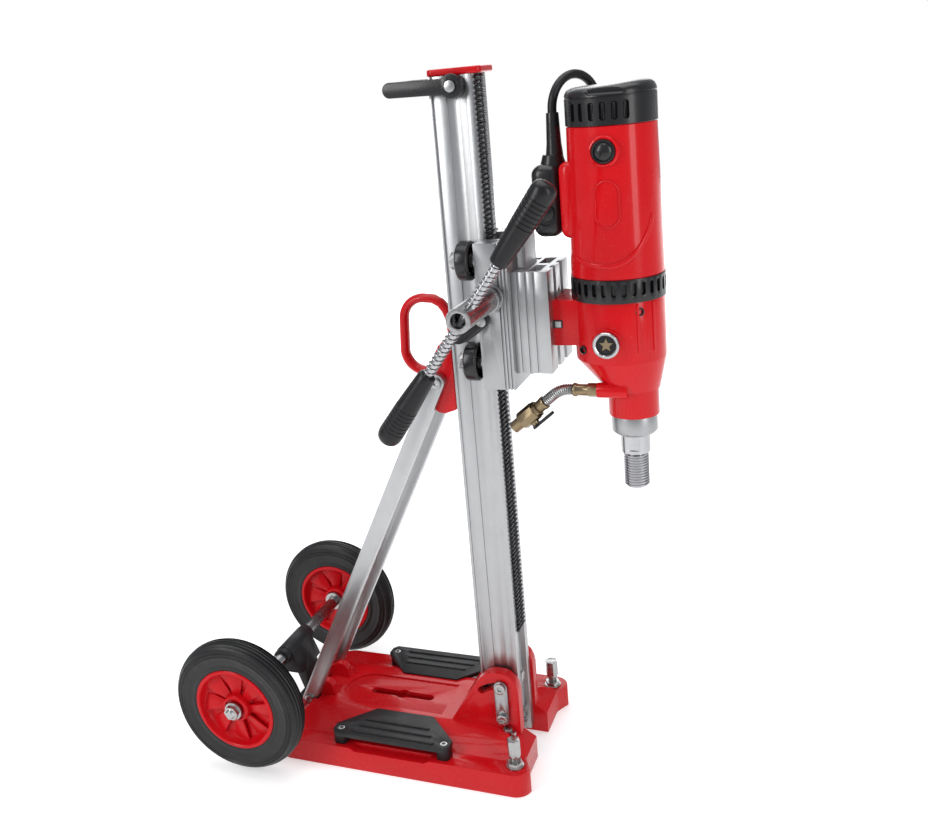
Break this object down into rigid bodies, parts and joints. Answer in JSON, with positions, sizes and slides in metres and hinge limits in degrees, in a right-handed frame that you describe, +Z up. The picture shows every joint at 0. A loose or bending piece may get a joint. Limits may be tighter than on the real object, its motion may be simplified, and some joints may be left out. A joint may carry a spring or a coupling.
{
  "type": "core drill rig",
  "caption": "Wheeled core drill stand with a tilting toothed mast, roller carriage, cross-handle feed and an electric wet drill motor.",
  "frame": {"origin": "on the floor, under the middle of the whole rig's box", "axes": "+Z up along the mast, +X from the mast towards the drill motor, -Y the side of the feed handle"},
  "size_m": [0.692, 0.3796, 0.9505],
  "materials": {
    "red_casting": "gloss",
    "red_motor": "gloss",
    "aluminium": "satin",
    "steel": "satin",
    "bright_steel": "polished",
    "rack_steel": "satin",
    "black_plastic": "matte",
    "black_metal": "satin",
    "tyre_rubber": "matte",
    "wheel_red": "gloss",
    "brass": "satin",
    "hose_braid": "satin",
    "cord_rubber": "matte",
    "glass": "polished",
    "copper": "satin",
    "iron": "satin"
  },
  "bodies": {
    "base": {"base": "red_casting", "foot_pads": "black_plastic", "base_fasteners": "bright_steel", "axle_bracket": "black_metal", "axle_tube": "steel", "axle_bolts": "bright_steel"},
    "levelling_near": {"levelling_screw_near": "bright_steel"},
    "levelling_far": {"levelling_screw_far": "bright_steel"},
    "wheel_near": {"wheel_hub_near": "wheel_red", "tyre_near": "tyre_rubber"},
    "wheel_far": {"wheel_hub_far": "wheel_red", "tyre_far": "tyre_rubber"},
    "struts": {"struts": "steel", "strut_top_screws": "bright_steel", "strut_pivot_bolts": "bright_steel"},
    "mast": {"mast": "aluminium", "rack": "rack_steel", "mast_cap": "red_casting", "top_handle": "black_plastic", "mast_bolts": "bright_steel", "link_plates": "steel"},
    "bracket": {"ring_handle": "red_casting", "bracket_clamp": "black_metal"},
    "carriage": {"carriage": "aluminium", "dovetail_rail": "aluminium", "spacer_block": "aluminium", "carriage_bolts": "bright_steel", "feed_bearing": "steel", "motor_housing": "red_motor", "end_cap": "black_plastic", "vent_ring": "black_plastic", "gear_housing": "red_motor", "sight_glass": "glass", "brush_caps": "black_plastic", "stator": "iron", "bearings": "bright_steel", "spindle_collar": "steel", "switch_box": "black_plastic", "lead_glands": "black_plastic", "lead": "cord_rubber", "hose_fittings": "brass", "hose": "hose_braid", "valve_body": "brass"},
    "roller_near_low": {"roller_near_low": "black_plastic"},
    "roller_near_high": {"roller_near_high": "black_plastic"},
    "roller_far_low": {"roller_far_low": "black_plastic"},
    "roller_far_high": {"roller_far_high": "black_plastic"},
    "feed": {"feed_hub": "steel", "pinion_shaft": "rack_steel", "spring_upper": "bright_steel", "spring_lower": "bright_steel"},
    "crossbar": {"crossbar": "bright_steel", "grips": "black_plastic"},
    "lock_lever": {"lock_lever": "black_plastic"},
    "valve_lever": {"valve_lever": "black_plastic"},
    "switch_rocker": {"switch_rocker": "wheel_red"},
    "spindle": {"spindle": "bright_steel", "output_gear": "rack_steel"},
    "countershaft": {"countershaft": "rack_steel"},
    "armature": {"armature": "copper"}
  },
  "joints": [
    {"name": "levelling_near", "type": "slide", "parent": "base", "child": "levelling_near", "axis": [0, 0, 1], "range_m": [-0.008, 0.01]},
    {"name": "levelling_far", "type": "slide", "parent": "base", "child": "levelling_far", "axis": [0, 0, 1], "range_m": [-0.008, 0.01]},
    {"name": "wheel_near", "type": "hinge", "parent": "base", "child": "wheel_near", "pos_m": [-0.246, -0.15925, 0.1105], "axis": [0, 1, 0], "continuous": true},
    {"name": "wheel_far", "type": "hinge", "parent": "base", "child": "wheel_far", "pos_m": [-0.246, 0.15925, 0.1105], "axis": [0, 1, 0], "continuous": true},
    {"name": "mast_tilt", "type": "hinge", "parent": "base", "child": "mast", "pos_m": [0.108, 0, 0.068], "axis": [0, -1, 0], "range_deg": [0, 35]},
    {"name": "strut_swing", "type": "hinge", "parent": "base", "child": "struts", "pos_m": [-0.205, 0, 0.048], "axis": [0, -1, 0], "range_deg": [0, 40]},
    {"name": "bracket_slide", "type": "slide", "parent": "mast", "child": "bracket", "axis": [0, 0, 1], "range_m": [0, 0.204]},
    {"name": "carriage_slide", "type": "slide", "parent": "mast", "child": "carriage", "axis": [0, 0, 1], "range_m": [-0.4, 0.16]},
    {"name": "feed_spin", "type": "hinge", "parent": "carriage", "child": "feed", "pos_m": [0.1433, 0, 0.677], "axis": [0, 1, 0], "range_deg": [-656, 1638]},
    {"name": "crossbar_shift", "type": "slide", "parent": "feed", "child": "crossbar", "axis": [0.5948, 0, 0.8039], "range_m": [-0.012, 0.012], "stiffness_N_per_m": 900, "deforming": ["spring_upper", "spring_lower"]},
    {"name": "lock_lever", "type": "hinge", "parent": "carriage", "child": "lock_lever", "pos_m": [0.1315, -0.064, 0.648], "axis": [0, 1, 0], "range_deg": [-6, 38]},
    {"name": "valve_lever", "type": "hinge", "parent": "carriage", "child": "valve_lever", "pos_m": [0.1725, -0.033, 0.5155], "axis": [0.6428, 0, -0.766], "range_deg": [0, 90]},
    {"name": "switch_rocker", "type": "hinge", "parent": "carriage", "child": "switch_rocker", "pos_m": [0.2085, 0.024, 0.792], "axis": [1, 0, 0], "range_deg": [0, 9]},
    {"name": "spindle_spin", "type": "hinge", "parent": "carriage", "child": "spindle", "pos_m": [0.301, 0, 0.5], "axis": [0, 0, 1], "continuous": true},
    {"name": "countershaft_spin", "type": "hinge", "parent": "carriage", "child": "countershaft", "pos_m": [0.28013, 0.02425, 0.62], "axis": [0, 0, 1], "continuous": true},
    {"name": "armature_spin", "type": "hinge", "parent": "carriage", "child": "armature", "pos_m": [0.288, 0, 0.76], "axis": [0, 0, 1], "continuous": true},
    {"name": "roller_near_low", "type": "hinge", "parent": "carriage", "child": "roller_near_low", "pos_m": [0.1115, -0.05005, 0.592], "axis": [1, 0, 0], "range_deg": [-372, 928]},
    {"name": "roller_near_high", "type": "hinge", "parent": "carriage", "child": "roller_near_high", "pos_m": [0.1115, -0.05005, 0.721], "axis": [1, 0, 0], "range_deg": [-372, 928]},
    {"name": "roller_far_low", "type": "hinge", "parent": "carriage", "child": "roller_far_low", "pos_m": [0.1115, 0.05005, 0.592], "axis": [1, 0, 0], "range_deg": [-928, 372]},
    {"name": "roller_far_high", "type": "hinge", "parent": "carriage", "child": "roller_far_high", "pos_m": [0.1115, 0.05005, 0.721], "axis": [1, 0, 0], "range_deg": [-928, 372]}
  ],
  "couplings": [
    {"joint": "strut_swing", "follows": "mast_tilt", "ratio": 1.1423},
    {"joint": "bracket_slide", "follows": "mast_tilt", "m_per_rad": 0.3333},
    {"joint": "feed_spin", "follows": "carriage_slide", "rad_per_m": -71.429},
    {"joint": "countershaft_spin", "follows": "spindle_spin", "ratio": -2.2},
    {"joint": "armature_spin", "follows": "spindle_spin", "ratio": 7.15},
    {"joint": "roller_near_low", "follows": "carriage_slide", "rad_per_m": -40.404},
    {"joint": "roller_near_high", "follows": "carriage_slide", "rad_per_m": -40.404},
    {"joint": "roller_far_low", "follows": "carriage_slide", "rad_per_m": 40.404},
    {"joint": "roller_far_high", "follows": "carriage_slide", "rad_per_m": 40.404}
  ]
}
